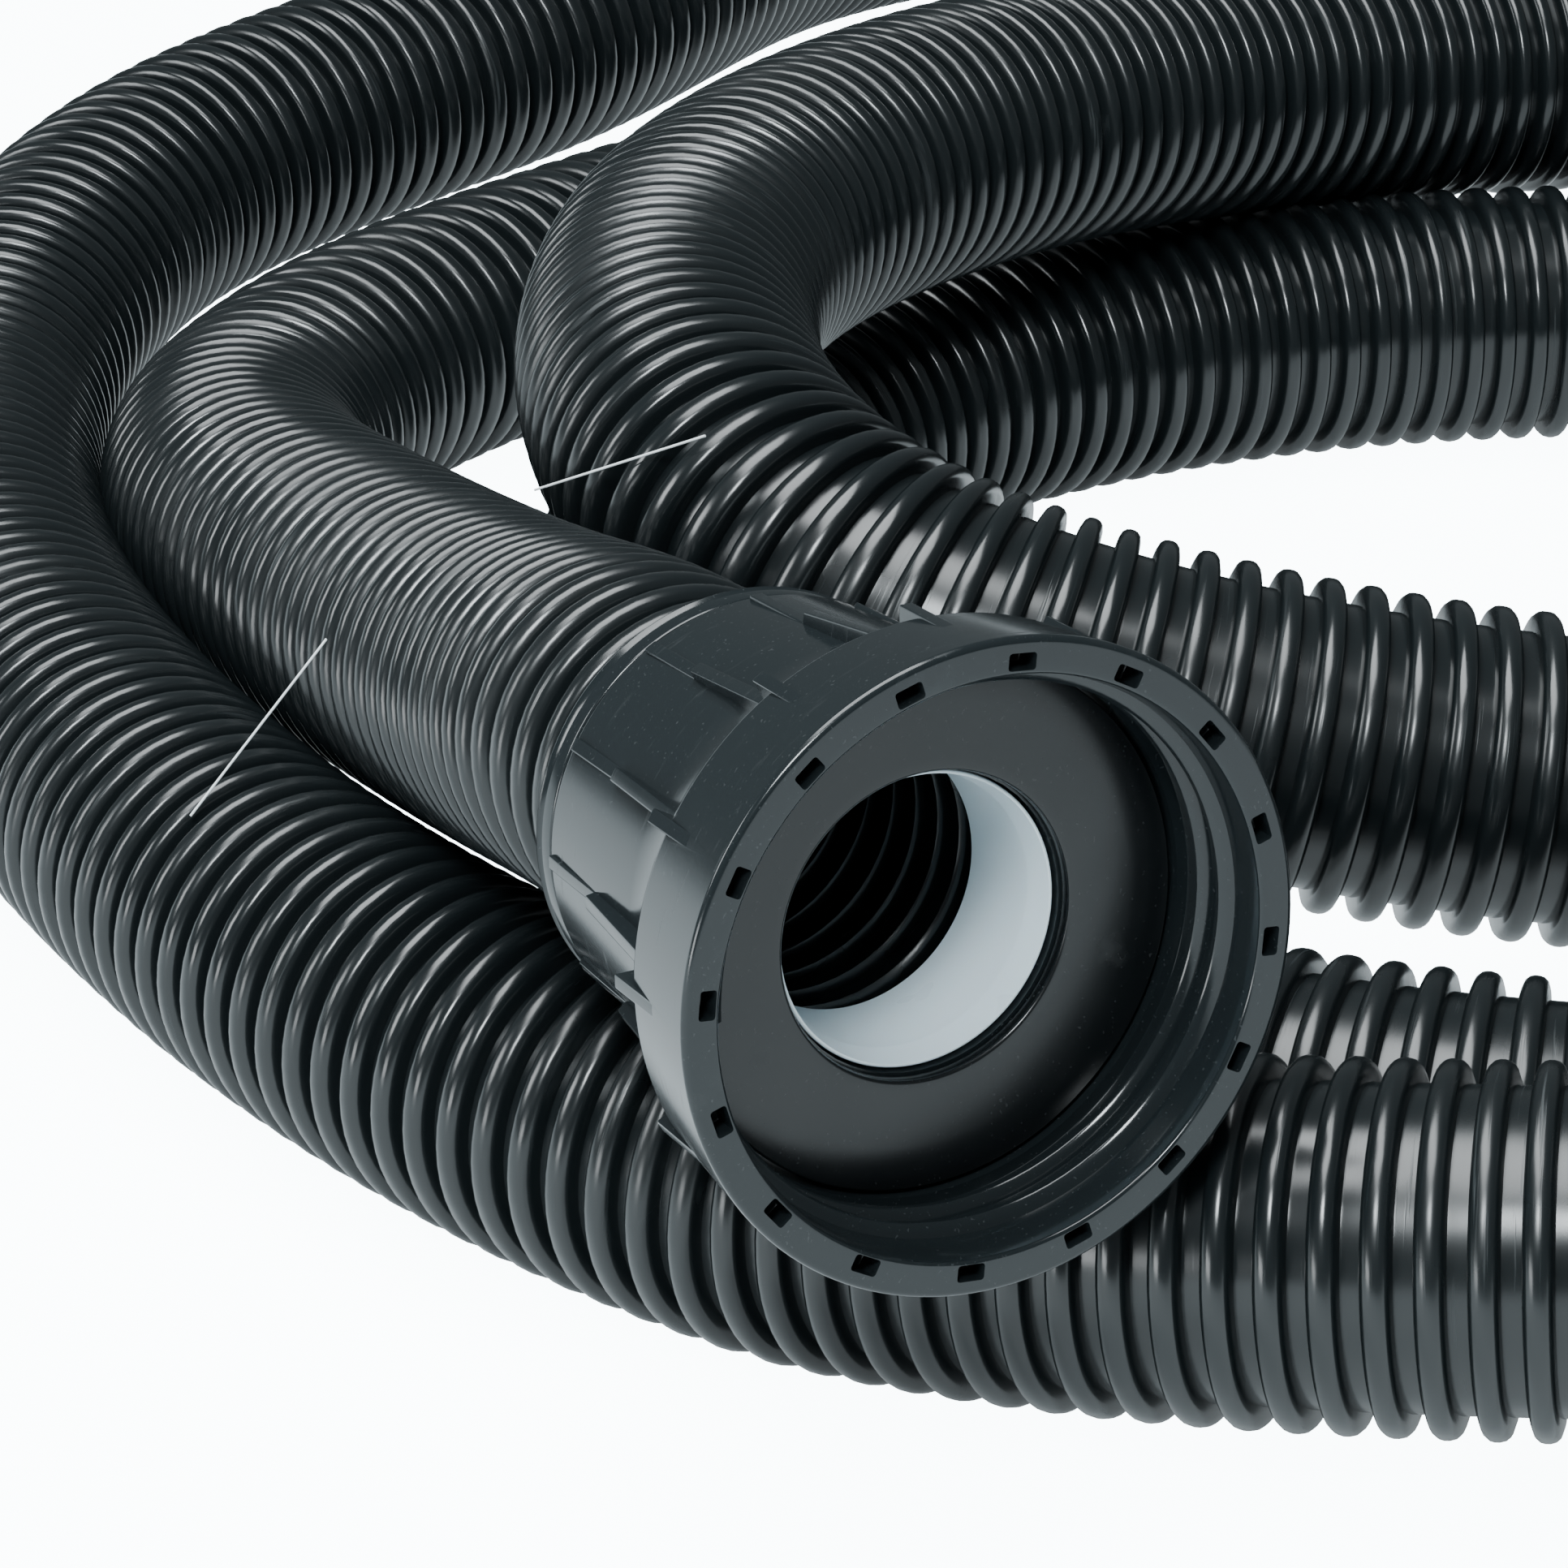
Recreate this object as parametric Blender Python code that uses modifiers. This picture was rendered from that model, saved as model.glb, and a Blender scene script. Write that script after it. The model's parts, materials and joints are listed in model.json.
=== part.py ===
"""A corrugated pool vacuum hose, lying in a loose coil, with a threaded union at each end.

Metres, +Z up. The origin is on the floor, under the middle of the coil, and the first union faces -Y.
Each union is built along its own axis, Z, from the open face of its nut towards the hose.
"""

import math

import bmesh
import bpy
import numpy as np
from mathutils import Matrix, Vector

MM = 0.001

# The hose.
HOSE_DIAMETER = 44 * MM
HOSE_BORE = 36.8 * MM
HOSE_SIDES_RESOLUTION = 4
HOSE_STEP_MIN = 24 * MM
HOSE_STEP_MAX = 75 * MM
HOSE_STEP_PER_RADIUS = 0.46

# The union at each end. Heights are measured from the nut's open face.
NUT_RADIUS = 38 * MM
NUT_REAR = 56 * MM
FLANGE_REAR = 15.9 * MM
FLANGE_REAR_RADIUS = 36.2 * MM
SLEEVE_REAR_RADIUS = 26.9 * MM
MOUTH_RADIUS = 33.8 * MM
THREAD_MAJOR = 33.2 * MM
THREAD_MINOR = 31.7 * MM
THREAD_PITCH = 5.4 * MM
THREAD_START = 4.0 * MM
THREAD_TURNS = 2
CHAMBER_RADIUS = 31.8 * MM
CHAMBER = (14.6 * MM, 19.9 * MM)
HUB = ((34.4 * MM, 15.9 * MM), (33.1 * MM, 20.6 * MM), (29.0 * MM, 26.2 * MM))
NECK_RADIUS = 24.9 * MM

POCKETS = 16
POCKET_CIRCLE = 35.2 * MM
POCKET_SIZE = (3.4 * MM, 2.0 * MM, 3.5 * MM)
POCKET_TURN = math.radians(5.9)

RIBS = 12
RIB_WIDTH = 2.2 * MM
RIB_TOP = ((29.3 * MM, 41.8 * MM), (32.0 * MM, 22.0 * MM), (32.9 * MM, 19.2 * MM))
LUG_RADIUS = 36.9 * MM
RIB_ROOT = (
    (34.6 * MM, 9.5 * MM), (34.6 * MM, 14.0 * MM), (32.3 * MM, 19.0 * MM), (32.1 * MM, 20.2 * MM),
    (26.5 * MM, 26.5 * MM), (25.9 * MM, 55.5 * MM),
)

TAIL_FLANGE_RADIUS = 31.2 * MM
TAIL_FLANGE = (17.2 * MM, 19.6 * MM)
TAIL_BARREL_RADIUS = 24.4 * MM
TAIL_REAR = 60.2 * MM
TAIL_BORE = 17.8 * MM
SOCKET_RADIUS = 22.5 * MM
SOCKET_FLOOR = 34.6 * MM

WASHER_HOLE = 18.1 * MM
WASHER = (15.3 * MM, 16.9 * MM)
BUSH = (17.9 * MM, 34.3 * MM)
BUSH_RADIUS = 17.5 * MM
BUSH_BORE = 16.3 * MM
BUSH_MOUTH = 17.1 * MM
BUSH_FLARE = 21.5 * MM
COLLAR = (56.6 * MM, 60.8 * MM)
COLLAR_RADIUS = 26.5 * MM
COLLAR_BORE = 24.7 * MM
SEAL_HEIGHT = 35.65 * MM
SEAL_RADIUS = 19.9 * MM
SEAL_THICKNESS = 1.8 * MM

HOSE_START = 36.9 * MM
HOSE_STRAIGHT = (60 * MM, 85 * MM)
BORE_DEPTH = 46 * MM

# Where each union's open face is, and which way its axis runs into the hose.
NEAR_FACE = Vector((-0.2796, -0.2324, 0.0752))
NEAR_TILT = math.radians(-2.83)
FAR_FACE = Vector((0.2844, -0.234, 0.038))
FAR_TILT = 0.0

# The centre line of the hose between its two straight ends: one loose coil of elongated loops.
ROUTE = [
    (-0.272, -0.099, 0.0590), (-0.258, 0.003, 0.0382), (-0.228, 0.100, 0.0229),
    (-0.151, 0.151, 0.0220), (-0.051, 0.183, 0.0220), (0.052, 0.202, 0.0220),
    (0.145, 0.157, 0.0220), (0.196, 0.066, 0.0220), (0.195, -0.038, 0.0220),
    (0.156, -0.135, 0.0220), (0.092, -0.219, 0.0220), (0.000, -0.267, 0.0220),
    (-0.104, -0.254, 0.0220), (-0.196, -0.205, 0.0220), (-0.241, -0.130, 0.0220),
    (-0.219, -0.035, 0.0220), (-0.166, 0.048, 0.0220), (-0.0715, 0.0765, 0.0220),
    (0.0275, 0.0455, 0.0222), (0.097, -0.031, 0.0242), (0.098, -0.126, 0.0307),
    (0.036, -0.197, 0.0379), (-0.051, -0.201, 0.0415), (-0.144, -0.154, 0.0413),
    (-0.217, -0.106, 0.0590), (-0.228, -0.064, 0.0700), (-0.187, 0.017, 0.0719),
    (-0.101, 0.069, 0.0688), (-0.007, 0.089, 0.0590), (0.091, 0.052, 0.0592),
    (0.154, -0.031, 0.0652), (0.172, -0.134, 0.0664), (0.152, -0.235, 0.0530),
    (0.086, -0.314, 0.0401), (-0.015, -0.336, 0.0343), (-0.114, -0.303, 0.0323),
    (-0.2045, -0.2505, 0.0310), (-0.273, -0.174, 0.0220), (-0.300, -0.073, 0.0220),
    (-0.296, 0.032, 0.0220), (-0.265, 0.132, 0.0223), (-0.201, 0.208, 0.0327),
    (-0.106, 0.249, 0.0388), (-0.021, 0.311, 0.0362), (0.079, 0.3365, 0.0306),
    (0.174, 0.297, 0.0251), (0.239, 0.216, 0.0220), (0.277, 0.118, 0.0220),
    (0.2855, 0.020, 0.0225), (0.2844, -0.070, 0.0300),
]

# The clear threads that tie neighbouring turns together: the two ends of each.
THREAD_DIAMETER = 0.35 * MM
TIES = {
    "thread_tie_1": ((-0.2564, -0.0671, 0.0735), (-0.2418, -0.0889, 0.0856)),
    "thread_tie_2": ((-0.2899, -0.0734, 0.0604), (-0.3113, -0.0766, 0.0406)),
}

TURNED_STEPS = 48
COLOURS = {
    "hose": ((0.012, 0.012, 0.013), 0.28),
    "moulding": ((0.045, 0.047, 0.052), 0.38),
    "liner": ((0.80, 0.84, 0.87), 0.35),
    "seal": ((0.02, 0.02, 0.02), 0.6),
    "thread": ((0.86, 0.88, 0.90), 0.2),
}


def material_named(name):
    """The Principled material of one finish, made once."""
    found = bpy.data.materials.get(name)
    if found:
        return found
    colour, roughness = COLOURS[name]
    made = bpy.data.materials.new(name)
    made.use_nodes = True
    shader = made.node_tree.nodes["Principled BSDF"]
    shader.inputs["Base Color"].default_value = (*colour, 1.0)
    shader.inputs["Roughness"].default_value = roughness
    return made


def place(obj, collection, finish=None, parent=None):
    """Links an object to a collection, with its finish and the empty that carries it."""
    collection.objects.link(obj)
    obj.parent = parent
    if finish:
        obj.data.materials.append(material_named(finish))
    return obj


def smooth_rounds(obj):
    obj.data.shade_smooth()
    obj.data.set_sharp_from_angle(angle=math.radians(35))


def turned(name, outline, collection, finish, parent, steps=TURNED_STEPS):
    """A ring turned about Z from a closed outline of (radius, height), outer side first and downwards."""
    mesh = bpy.data.meshes.new(name)
    sides = len(outline)
    mesh.from_pydata([(r, 0.0, z) for r, z in outline], [(i, (i + 1) % sides) for i in range(sides)], [])
    obj = place(bpy.data.objects.new(name, mesh), collection, finish, parent)
    screw = obj.modifiers.new("Screw", "SCREW")
    screw.steps = steps
    screw.render_steps = steps
    screw.use_merge_vertices = True
    screw.merge_threshold = 1e-6
    return obj


def bar_from_outline(outline, width):
    """A bmesh bar of this width across Y, from a flat outline of (x, z)."""
    bar = bmesh.new()
    face = bar.faces.new([bar.verts.new((x, -width / 2, z)) for x, z in outline])
    extruded = bmesh.ops.extrude_face_region(bar, geom=[face])["geom"]
    moved = [v for v in extruded if isinstance(v, bmesh.types.BMVert)]
    bmesh.ops.translate(bar, verts=moved, vec=(0, width, 0))
    bmesh.ops.recalc_face_normals(bar, faces=bar.faces)
    return bar


def ring_of(name, source, count, turn, collection, parent):
    """A helper mesh: copies of a bmesh set round Z, the first one turned from +Y by the given angle."""
    mesh = bpy.data.meshes.new(name)
    whole = bmesh.new()
    source.to_mesh(mesh)
    source.free()
    for i in range(count):
        angle = math.pi / 2 + turn + 2 * math.pi * i / count
        start = len(whole.verts)
        whole.from_mesh(mesh)
        whole.verts.ensure_lookup_table()
        bmesh.ops.rotate(whole, verts=whole.verts[start:], matrix=Matrix.Rotation(angle, 3, "Z"))
    whole.to_mesh(mesh)
    whole.free()
    obj = place(bpy.data.objects.new(name, mesh), collection, None, parent)
    obj.hide_render = True
    obj.display_type = "WIRE"
    return obj


def combine(obj, other, operation):
    boolean = obj.modifiers.new(other.name, "BOOLEAN")
    boolean.operation = operation
    boolean.object = other


def union_nut(name, parts, cutters, hinge):
    """The nut: a pocketed flange with an inside thread, and a ribbed sleeve that turns on the tail."""
    thread = []
    for turn in range(THREAD_TURNS):
        low = THREAD_START + turn * THREAD_PITCH
        thread += [
            (THREAD_MAJOR, low), (THREAD_MINOR, low + 0.9 * MM),
            (THREAD_MINOR, low + 2.1 * MM), (THREAD_MAJOR, low + 3.0 * MM),
        ]
    outline = [
        (SLEEVE_REAR_RADIUS - 0.3 * MM, NUT_REAR), (SLEEVE_REAR_RADIUS, NUT_REAR - 0.4 * MM),
        *HUB[::-1], (FLANGE_REAR_RADIUS - 0.5 * MM, FLANGE_REAR),
        (FLANGE_REAR_RADIUS, FLANGE_REAR - 0.5 * MM), (NUT_RADIUS, 0.6 * MM),
        (NUT_RADIUS - 0.6 * MM, 0.0), (MOUTH_RADIUS, 0.0), (THREAD_MAJOR, 2.0 * MM),
        *thread,
        (THREAD_MAJOR, CHAMBER[0]), (CHAMBER_RADIUS, CHAMBER[0]), (CHAMBER_RADIUS, CHAMBER[1]),
        (NECK_RADIUS, CHAMBER[1]), (NECK_RADIUS, NUT_REAR),
    ]
    nut = turned(name, outline, parts, "moulding", hinge)

    rib = bar_from_outline(
        [
            (SLEEVE_REAR_RADIUS + 0.7 * MM, RIB_ROOT[-1][1]),
            (SLEEVE_REAR_RADIUS + 1.5 * MM, RIB_TOP[0][1]), *RIB_TOP,
            (LUG_RADIUS, RIB_TOP[-1][1]), (LUG_RADIUS, RIB_ROOT[0][1]), *RIB_ROOT,
        ],
        RIB_WIDTH,
    )
    combine(nut, ring_of(name + "_ribs", rib, RIBS, 0.0, cutters, hinge), "UNION")

    pocket = bmesh.new()
    bmesh.ops.create_cube(pocket, size=1.0)
    across, deep, depth = POCKET_SIZE
    bmesh.ops.scale(pocket, verts=pocket.verts, vec=(deep, across, 2 * depth))
    bmesh.ops.translate(pocket, verts=pocket.verts, vec=(POCKET_CIRCLE, 0, 0))
    combine(nut, ring_of(name + "_pockets", pocket, POCKETS, POCKET_TURN, cutters, hinge), "DIFFERENCE")
    smooth_rounds(nut)


def hose_tail(name, parts, frame):
    """The fixed half of the union: a flange, a bore for the bush, and a socket for the hose."""
    front, rear = TAIL_FLANGE
    return turned(
        name,
        [
            (TAIL_BARREL_RADIUS, TAIL_REAR), (TAIL_BARREL_RADIUS, rear), (TAIL_FLANGE_RADIUS, rear),
            (TAIL_FLANGE_RADIUS, front), (TAIL_BORE, front), (TAIL_BORE, SOCKET_FLOOR),
            (SOCKET_RADIUS, SOCKET_FLOOR), (SOCKET_RADIUS, TAIL_REAR),
        ],
        parts, "moulding", frame,
    )


def lock_collar(name, parts, frame):
    """The collar on the tail's barrel that keeps the nut on."""
    low, high = COLLAR
    outline = [
        (COLLAR_RADIUS, high), (COLLAR_RADIUS, low), (COLLAR_BORE, low), (COLLAR_BORE, high),
    ]
    return turned(name, outline, parts, "moulding", frame)


def sealing_washer(name, parts, frame):
    """The flat washer that faces out of the nut."""
    low, high = WASHER
    outline = [
        (TAIL_FLANGE_RADIUS, high), (TAIL_FLANGE_RADIUS, low), (WASHER_HOLE, low), (WASHER_HOLE, high),
    ]
    return turned(name, outline, parts, "seal", frame)


def inner_bush(name, parts, frame):
    """The white liner of the bore, flared at its mouth."""
    low, high = BUSH
    outline = [
        (BUSH_RADIUS, high), (BUSH_RADIUS, low), (BUSH_MOUTH, low), (BUSH_BORE, BUSH_FLARE),
        (BUSH_BORE, high),
    ]
    return turned(name, outline, parts, "liner", frame)


def end_seal(name, parts, frame):
    """The round seal between the hose's cut end and the floor of its socket."""
    mesh = bpy.data.meshes.new(name)
    ring = bmesh.new()
    bmesh.ops.create_circle(ring, segments=8, radius=SEAL_THICKNESS / 2)
    bmesh.ops.rotate(ring, verts=ring.verts, matrix=Matrix.Rotation(math.pi / 2, 3, "X"))
    bmesh.ops.translate(ring, verts=ring.verts, vec=(SEAL_RADIUS, 0, SEAL_HEIGHT))
    ring.to_mesh(mesh)
    ring.free()
    seal = place(bpy.data.objects.new(name, mesh), parts, "seal", frame)
    screw = seal.modifiers.new("Screw", "SCREW")
    screw.steps = TURNED_STEPS // 2
    screw.render_steps = TURNED_STEPS // 2
    screw.use_merge_vertices = True
    screw.merge_threshold = 1e-6
    return seal


def union_end(prefix, face, tilt, parts, cutters):
    """One threaded union, with its axis through the open face's centre."""
    axis = Vector((0, math.cos(tilt), math.sin(tilt)))
    frame = bpy.data.objects.new(prefix + "_frame", None)
    frame.matrix_world = Matrix.Translation(face) @ axis.to_track_quat("Z", "Y").to_matrix().to_4x4()
    cutters.objects.link(frame)
    hinge = bpy.data.objects.new(prefix + "_nut_axis", None)
    cutters.objects.link(hinge)
    hinge.parent = frame
    smooth_rounds(hose_tail(prefix + "_hose_tail", parts, frame))
    smooth_rounds(sealing_washer(prefix + "_sealing_washer", parts, frame))
    smooth_rounds(inner_bush(prefix + "_inner_bush", parts, frame))
    smooth_rounds(end_seal(prefix + "_end_seal", parts, frame))
    smooth_rounds(lock_collar(prefix + "_lock_collar", parts, frame))
    union_nut(prefix + "_union_nut", parts, cutters, hinge)
    return face, axis


def smooth_curve(points, samples):
    """Points along the natural cubic through the given ones, spaced by the root of their distance."""
    points = np.array(points)
    steps = np.sqrt(np.linalg.norm(np.diff(points, axis=0), axis=1))
    knots = np.concatenate([[0.0], np.cumsum(steps)])
    count = len(points)
    system = np.eye(count)
    right = np.zeros((count, 3))
    for i in range(1, count - 1):
        system[i, i - 1:i + 2] = steps[i - 1], 2 * (steps[i - 1] + steps[i]), steps[i]
        after = (points[i + 1] - points[i]) / steps[i]
        before = (points[i] - points[i - 1]) / steps[i - 1]
        right[i] = 6 * (after - before)
    bends = np.linalg.solve(system, right)
    along = np.linspace(0, knots[-1], samples)
    span = np.clip(np.searchsorted(knots, along, side="right") - 1, 0, count - 2)
    h = steps[span][:, None]
    a = (knots[span + 1] - along)[:, None]
    b = (along - knots[span])[:, None]
    return (
        (bends[span] * a**3 + bends[span + 1] * b**3) / (6 * h)
        + (points[span] / h - bends[span] * h / 6) * a
        + (points[span + 1] / h - bends[span + 1] * h / 6) * b
    )


def thinned(curve):
    """Fewer points of a fine curve: close together where it bends, far apart where it's straight."""
    ahead = np.gradient(curve, axis=0)
    turn = np.gradient(ahead, axis=0)
    bend = np.linalg.norm(np.cross(ahead, turn), axis=1) / np.linalg.norm(ahead, axis=1) ** 3
    wide = np.ones(61) / 61
    bend = np.convolve(np.pad(bend, 30, mode="edge"), wide, mode="valid")
    step = np.clip(HOSE_STEP_PER_RADIUS / np.maximum(bend, 1e-3), HOSE_STEP_MIN, HOSE_STEP_MAX)
    length = np.linalg.norm(np.diff(curve, axis=0), axis=1)
    count = np.concatenate([[0.0], np.cumsum(length * 2 / (step[1:] + step[:-1]))])
    wanted = np.linspace(0, count[-1], int(round(count[-1])) + 1)
    return np.column_stack([np.interp(wanted, count, curve[:, k]) for k in range(3)])


def tube(name, points, diameter, resolution):
    """A curve object through the points, with a round section and filled caps."""
    curve = bpy.data.curves.new(name, "CURVE")
    curve.dimensions = "3D"
    curve.bevel_depth = diameter / 2
    curve.bevel_resolution = resolution
    curve.use_fill_caps = True
    spline = curve.splines.new("POLY")
    spline.points.add(len(points) - 1)
    for point, place_at in zip(spline.points, points):
        point.co = (*place_at, 1.0)
    return bpy.data.objects.new(name, curve)


def hose(near, far, parts, cutters):
    """The hose as one tube along its route, with the real bore opened at its two cut ends."""
    def on_axis(end, height):
        face, axis = end
        return face + axis * height

    route = [on_axis(near, height) for height in (HOSE_START, *HOSE_STRAIGHT)]
    route += [Vector(point) for point in ROUTE]
    route += [on_axis(far, height) for height in (*HOSE_STRAIGHT[::-1], HOSE_START)]
    fine = smooth_curve(route, 6000)
    fine[:, 2] = np.maximum(fine[:, 2], HOSE_DIAMETER / 2)
    along = np.concatenate([[0.0], np.cumsum(np.linalg.norm(np.diff(fine, axis=0), axis=1))])
    straight = HOSE_STRAIGHT[-1] - HOSE_START
    bent = fine[(along > straight) & (along < along[-1] - straight)]
    points = [on_axis(near, HOSE_START), *thinned(bent), on_axis(far, HOSE_START)]
    as_curve = tube("hose_curve", points, HOSE_DIAMETER, HOSE_SIDES_RESOLUTION)
    cutters.objects.link(as_curve)
    bpy.context.view_layer.update()
    graph = bpy.context.evaluated_depsgraph_get()
    mesh = bpy.data.meshes.new_from_object(as_curve.evaluated_get(graph))
    bpy.data.objects.remove(as_curve)
    mesh.name = "hose"
    welded = bmesh.new()
    welded.from_mesh(mesh)
    bmesh.ops.remove_doubles(welded, verts=welded.verts, dist=1e-5)
    bmesh.ops.recalc_face_normals(welded, faces=welded.faces)
    welded.to_mesh(mesh)
    welded.free()
    mesh.materials.clear()
    body = place(bpy.data.objects.new("hose", mesh), parts, "hose")
    for label, end in (("near", near), ("far", far)):
        drill_mesh = bpy.data.meshes.new(label + "_bore")
        drill = bmesh.new()
        bmesh.ops.create_cone(
            drill, cap_ends=True, segments=24, radius1=HOSE_BORE / 2, radius2=HOSE_BORE / 2,
            depth=2 * BORE_DEPTH,
        )
        drill.to_mesh(drill_mesh)
        drill.free()
        cutter = place(bpy.data.objects.new(label + "_bore", drill_mesh), cutters)
        turn = end[1].to_track_quat("Z", "Y").to_matrix().to_4x4()
        cutter.matrix_world = Matrix.Translation(on_axis(end, HOSE_START)) @ turn
        cutter.hide_render = True
        cutter.display_type = "WIRE"
        combine(body, cutter, "DIFFERENCE")
    smooth_rounds(body)


def thread_tie(name, ends, parts):
    """A clear thread stretched between two turns of the hose."""
    return place(tube(name, ends, THREAD_DIAMETER, 2), parts, "thread")


def main():
    for obj in list(bpy.data.objects):
        bpy.data.objects.remove(obj)
    parts = bpy.data.collections.new("vacuum_hose")
    cutters = bpy.data.collections.new("cutters")
    bpy.context.scene.collection.children.link(parts)
    bpy.context.scene.collection.children.link(cutters)
    near = union_end("near", NEAR_FACE, NEAR_TILT, parts, cutters)
    far = union_end("far", FAR_FACE, FAR_TILT, parts, cutters)
    hose(near, far, parts, cutters)
    for name, ends in TIES.items():
        thread_tie(name, ends, parts)


main()
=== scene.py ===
"""The looks of a corrugated pool vacuum hose: its ribs, its unions, their finishes and a plain stage."""

import json
import math

import bmesh
import bpy
import numpy as np
from bpy.props import FloatProperty, FloatVectorProperty, IntProperty, PointerProperty
from mathutils import Matrix, Vector


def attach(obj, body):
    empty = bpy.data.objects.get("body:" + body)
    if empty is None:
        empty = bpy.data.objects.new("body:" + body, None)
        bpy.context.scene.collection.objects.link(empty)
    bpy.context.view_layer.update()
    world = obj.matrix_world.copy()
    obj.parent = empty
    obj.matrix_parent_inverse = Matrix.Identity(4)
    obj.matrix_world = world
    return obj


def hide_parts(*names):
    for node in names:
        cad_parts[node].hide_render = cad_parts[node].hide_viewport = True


bl_info = {
    "name": "Pool Vacuum Hose",
    "version": (1, 0, 0),
    "blender": (4, 5, 0),
    "location": "View3D > Sidebar > Hose",
    "description": "Ribs, unions, finishes and stage of a coiled pool vacuum hose",
    "category": "Add Mesh",
}

MM = 0.001

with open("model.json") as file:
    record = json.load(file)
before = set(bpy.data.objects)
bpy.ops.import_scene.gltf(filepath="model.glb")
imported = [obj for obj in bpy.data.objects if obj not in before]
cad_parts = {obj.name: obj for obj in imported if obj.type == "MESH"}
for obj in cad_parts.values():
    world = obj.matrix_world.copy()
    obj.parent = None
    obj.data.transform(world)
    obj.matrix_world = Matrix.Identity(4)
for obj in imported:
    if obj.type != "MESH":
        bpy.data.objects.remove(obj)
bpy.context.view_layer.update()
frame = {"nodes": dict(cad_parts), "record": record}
JOINTS = {joint["name"]: joint for joint in frame["record"]["behaviour"]["joints"]}

# The hose's centre line between its two straight ends, as in the part's own source.
ROUTE = [
    (-0.272, -0.099, 0.0590), (-0.258, 0.003, 0.0382), (-0.228, 0.100, 0.0229),
    (-0.151, 0.151, 0.0220), (-0.051, 0.183, 0.0220), (0.052, 0.202, 0.0220),
    (0.145, 0.157, 0.0220), (0.196, 0.066, 0.0220), (0.195, -0.038, 0.0220),
    (0.156, -0.135, 0.0220), (0.092, -0.219, 0.0220), (0.000, -0.267, 0.0220),
    (-0.104, -0.254, 0.0220), (-0.196, -0.205, 0.0220), (-0.241, -0.130, 0.0220),
    (-0.219, -0.035, 0.0220), (-0.166, 0.048, 0.0220), (-0.0715, 0.0765, 0.0220),
    (0.0275, 0.0455, 0.0222), (0.097, -0.031, 0.0242), (0.098, -0.126, 0.0307),
    (0.036, -0.197, 0.0379), (-0.051, -0.201, 0.0415), (-0.144, -0.154, 0.0413),
    (-0.217, -0.106, 0.0590), (-0.228, -0.064, 0.0700), (-0.187, 0.017, 0.0719),
    (-0.101, 0.069, 0.0688), (-0.007, 0.089, 0.0590), (0.091, 0.052, 0.0592),
    (0.154, -0.031, 0.0652), (0.172, -0.134, 0.0664), (0.152, -0.235, 0.0530),
    (0.086, -0.314, 0.0401), (-0.015, -0.336, 0.0343), (-0.114, -0.303, 0.0323),
    (-0.2045, -0.2505, 0.0310), (-0.273, -0.174, 0.0220), (-0.300, -0.073, 0.0220),
    (-0.296, 0.032, 0.0220), (-0.265, 0.132, 0.0223), (-0.201, 0.208, 0.0327),
    (-0.106, 0.249, 0.0388), (-0.021, 0.311, 0.0362), (0.079, 0.3365, 0.0306),
    (0.174, 0.297, 0.0251), (0.239, 0.216, 0.0220), (0.277, 0.118, 0.0220),
    (0.2855, 0.020, 0.0225), (0.2844, -0.070, 0.0300),
]
# How far apart the ribs are pulled, next to their usual pitch, at some distances along the hose.
PULLED = (
    (0.00, 0.86), (0.06, 0.92), (0.13, 1.08), (0.20, 1.20), (0.40, 1.20), (0.55, 1.02), (1.00, 1.00),
    (2.25, 1.08), (2.42, 1.10), (2.52, 0.95), (2.60, 0.90), (2.75, 0.95), (3.00, 1.00), (3.80, 0.96),
    (4.10, 1.00),
)
HOSE_START = 36.9 * MM
HOSE_STRAIGHT = (60 * MM, 85 * MM)
CURVE_SAMPLES = 12000
# The inner wall's ribs are this much of the outer ones' height.
INNER_RELIEF = 0.3

# How the unions are turned: points round each piece, and the sharpest angle still shaded smooth.
NUT_SIDES = 144
PIECE_SIDES = 128
NUT_SMOOTH_ANGLE = 36
PIECE_SMOOTH_ANGLE = 38

# The nut's grip ribs and its pockets, in millimetres.
RIBS = 12
RIB_WIDTH = 1.7
RIB_ROUNDING = 0.25
POCKETS = 16
POCKET_OUTLINE = ((34.2, -3.0), (36.2, -3.0), (36.2, 3.5), (34.2, 3.5))
POCKET_WIDTH = 3.4
POCKET_ROUNDING = 0.35
POCKET_TURN = math.radians(5.9)

# The nut's inside thread, in millimetres. Its root lies just inside the wall.
THREAD_PITCH = 4.6
THREAD_TURNS = 2.0
THREAD_START = 2.4
THREAD_STEPS_PER_TURN = 96
THREAD_ROOT = 33.35
THREAD_SECTION = (
    (33.35, 0.0), (32.6, 0.3), (31.95, 0.7), (31.75, 1.0), (31.75, 1.6), (31.95, 1.9), (32.6, 2.3),
    (33.35, 2.6),
)
THREAD_FADE = 6

CAMERA_PLACE = (-0.560, -0.716)
FLOOR_GLOW = 0.5
FLOOR_GLOW_SEEN = 12.0
SKY_GLOW = 0.18
COOL_LIGHT = (0.93, 0.98, 1.0)
# Name, place, target, width, depth, power and colour of each light beside the key.
LIGHTS = (
    ("side", (-1.5, 0.5, 0.7), (-0.2, 0, 0.05), 0.5, 0.5, 10.0, COOL_LIGHT),
    ("front", (-0.86, -0.90, 1.04), (-0.28, -0.22, 0.06), 0.3, 0.3, 17.0, (0.90, 0.97, 1.0)),
    ("low", (-1.3, -0.45, 0.13), (-0.28, -0.2, 0.05), 0.5, 0.2, 3.5, COOL_LIGHT),
)


# ---------------------------------------------------------------- settings

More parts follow.
